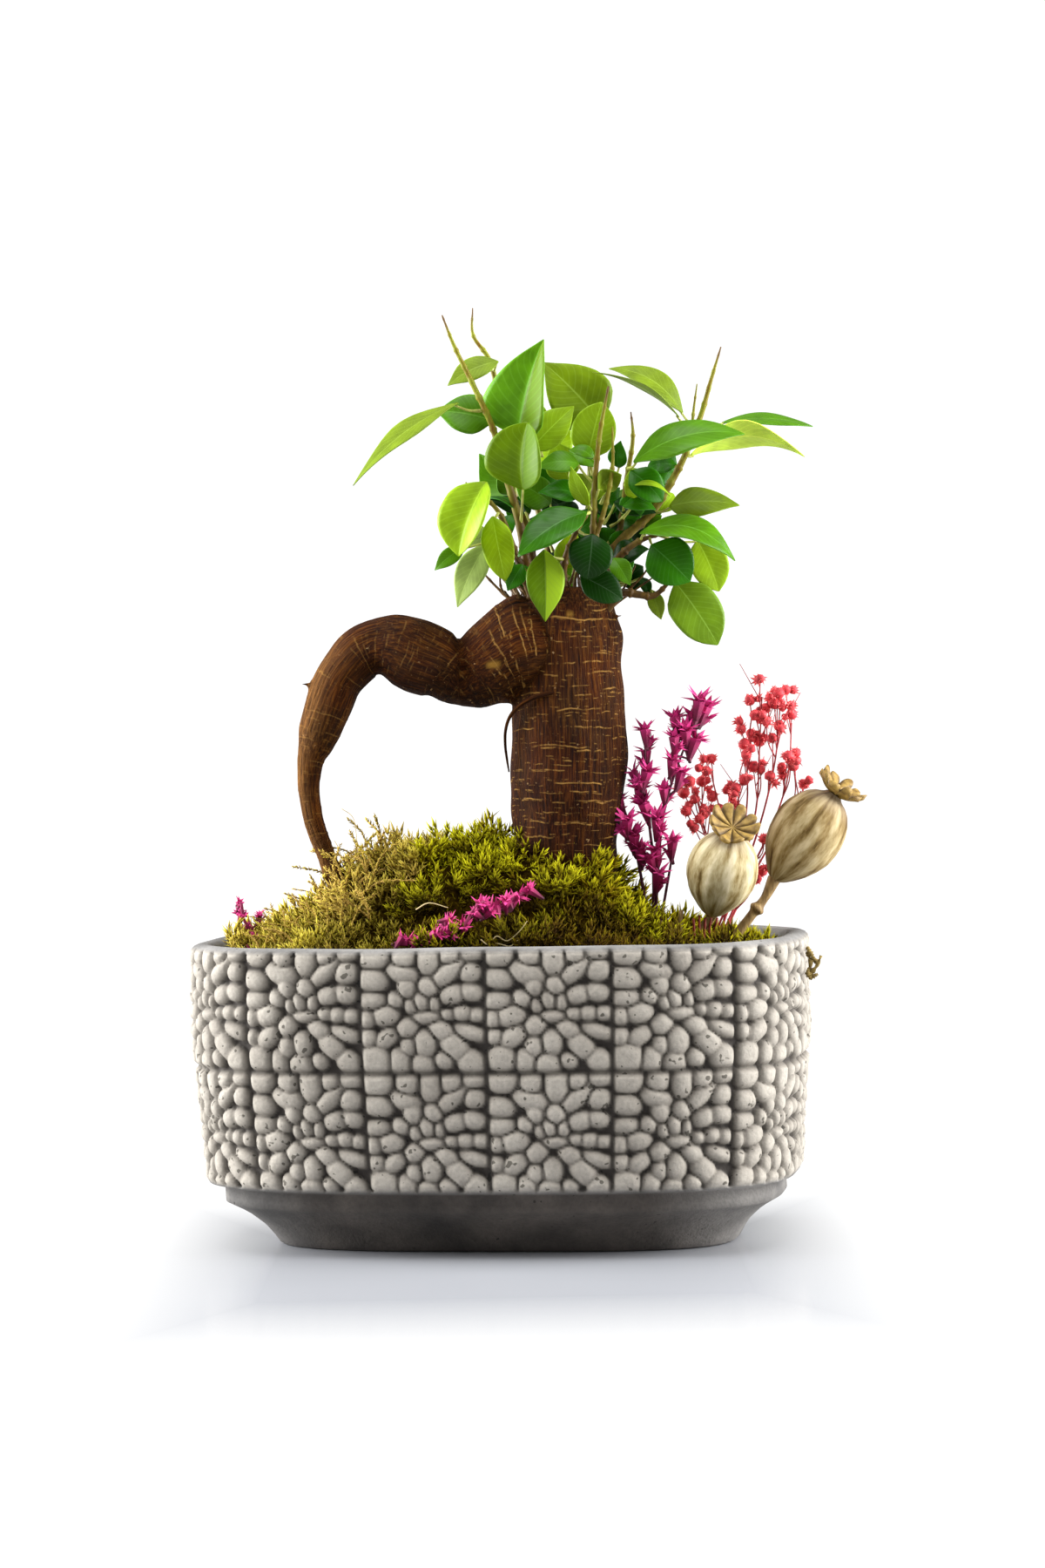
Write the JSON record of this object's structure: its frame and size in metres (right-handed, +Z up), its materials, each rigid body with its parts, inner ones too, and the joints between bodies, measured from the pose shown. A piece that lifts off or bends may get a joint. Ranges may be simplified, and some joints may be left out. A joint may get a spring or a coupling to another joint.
{
  "type": "ficus bonsai",
  "caption": "Grafted ficus with a thick trunk and an arched aerial root, in an oblong concrete pot with flower relief, moss and dried flowers.",
  "frame": {"origin": "middle of the pot's flat underside", "axes": "+Z up, +X along the pot's length to the right seen from the front, -Y to the front"},
  "size_m": [0.2144, 0.124, 0.2997],
  "materials": {
    "concrete": "matte cast concrete",
    "soil": "matte",
    "moss_green": "matte, feathery",
    "moss_straw": "matte, stringy",
    "bark": "matte bark",
    "shoot": "satin",
    "leaf": "waxy",
    "poppy_capsule": "matte, dry",
    "poppy_stem": "matte, dry",
    "dried_magenta": "matte, dyed",
    "dried_coral": "matte, dyed"
  },
  "bodies": {
    "root": {"pot": "concrete", "soil": "soil", "moss_left_clump": "moss_straw", "moss_mound": "moss_green", "moss_crumb": "moss_straw", "trunk": "bark", "hair_root": "bark", "shoot_tall_left": "shoot", "shoot_back_left": "shoot", "shoot_centre_twin": "shoot", "shoot_tall_right": "shoot", "shoot_right_inner": "shoot", "shoot_left_low": "shoot", "shoot_right_low": "shoot", "shoot_right_knobby": "shoot", "shoot_front_low": "shoot", "shoot_back_right": "shoot", "shoot_back_middle": "shoot", "leaf_01": "leaf", "leaf_02": "leaf", "leaf_03": "leaf", "leaf_04": "leaf", "leaf_05": "leaf", "leaf_06": "leaf", "leaf_07": "leaf", "leaf_08": "leaf", "leaf_09": "leaf", "leaf_10": "leaf", "leaf_11": "leaf", "leaf_12": "leaf", "leaf_13": "leaf", "leaf_14": "leaf", "leaf_15": "leaf", "leaf_16": "leaf", "leaf_17": "leaf", "leaf_18": "leaf", "leaf_19": "leaf", "leaf_20": "leaf", "leaf_21": "leaf", "leaf_22": "leaf", "leaf_23": "leaf", "leaf_24": "leaf", "leaf_25": "leaf", "leaf_26": "leaf", "leaf_27": "leaf", "leaf_28": "leaf", "leaf_29": "leaf", "leaf_30": "leaf", "leaf_31": "leaf", "leaf_32": "leaf", "leaf_33": "leaf", "leaf_34": "leaf", "poppy_head_1": "poppy_capsule", "poppy_head_2": "poppy_capsule", "poppy_stem_1": "poppy_stem", "poppy_stem_2": "poppy_stem", "sprig_magenta": "dried_magenta", "sprig_coral": "dried_coral", "sprig_fallen": "dried_magenta", "sprig_pink": "dried_magenta"}
  },
  "joints": []
}
